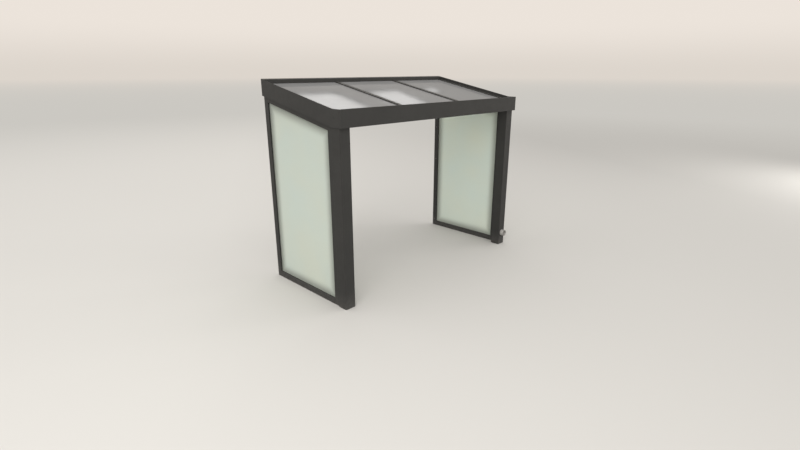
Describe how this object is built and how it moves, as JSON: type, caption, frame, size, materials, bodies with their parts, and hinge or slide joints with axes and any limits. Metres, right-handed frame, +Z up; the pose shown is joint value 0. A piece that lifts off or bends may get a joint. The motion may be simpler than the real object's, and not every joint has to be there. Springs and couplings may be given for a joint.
{
  "type": "patio roof",
  "caption": "Lean-to patio roof: two square posts, a gutter beam, sloping glass roof on rafters, and framed frosted glass side walls, open at front and back.",
  "frame": {"origin": "on the ground, under the centre of the whole roof's box", "axes": "+X along the gutter towards the post with the drain outlet, +Y from the gutter towards the house wall, +Z up"},
  "size_m": [3.534, 1.62, 2.7461],
  "materials": {
    "frame_powder_coat": "anthracite grey fine-textured powder coat on extruded aluminium, matte",
    "foot_zinc": "hot-dip galvanised steel",
    "roof_glass": "grey tinted laminated glass, polished",
    "frosted_glass": "laminated safety glass with a pale green-white frosted interlayer, satin",
    "seal_rubber": "black EPDM",
    "drain_plastic": "mid grey rigid PVC"
  },
  "bodies": {
    "root": {"left_post": "frame_powder_coat", "right_post": "frame_powder_coat", "left_post_foot": "foot_zinc", "right_post_foot": "foot_zinc", "gutter_beam": "frame_powder_coat", "gutter_left_cap": "frame_powder_coat", "gutter_right_cap": "frame_powder_coat", "gutter_seal": "seal_rubber", "wall_profile": "frame_powder_coat", "wall_profile_left_cap": "frame_powder_coat", "wall_profile_right_cap": "frame_powder_coat", "left_side_rafter": "frame_powder_coat", "right_side_rafter": "frame_powder_coat", "left_middle_rafter": "frame_powder_coat", "right_middle_rafter": "frame_powder_coat", "left_side_trim": "frame_powder_coat", "right_side_trim": "frame_powder_coat", "left_cover_strip": "frame_powder_coat", "right_cover_strip": "frame_powder_coat", "left_roof_glass": "roof_glass", "middle_roof_glass": "roof_glass", "right_roof_glass": "roof_glass", "left_wall_bottom_rail": "frame_powder_coat", "left_wall_top_rail": "frame_powder_coat", "left_wall_front_stile": "frame_powder_coat", "left_wall_back_stile": "frame_powder_coat", "left_wall_glass": "frosted_glass", "right_wall_bottom_rail": "frame_powder_coat", "right_wall_top_rail": "frame_powder_coat", "right_wall_front_stile": "frame_powder_coat", "right_wall_back_stile": "frame_powder_coat", "right_wall_glass": "frosted_glass", "downpipe": "drain_plastic", "drain_outlet": "drain_plastic"}
  },
  "joints": []
}
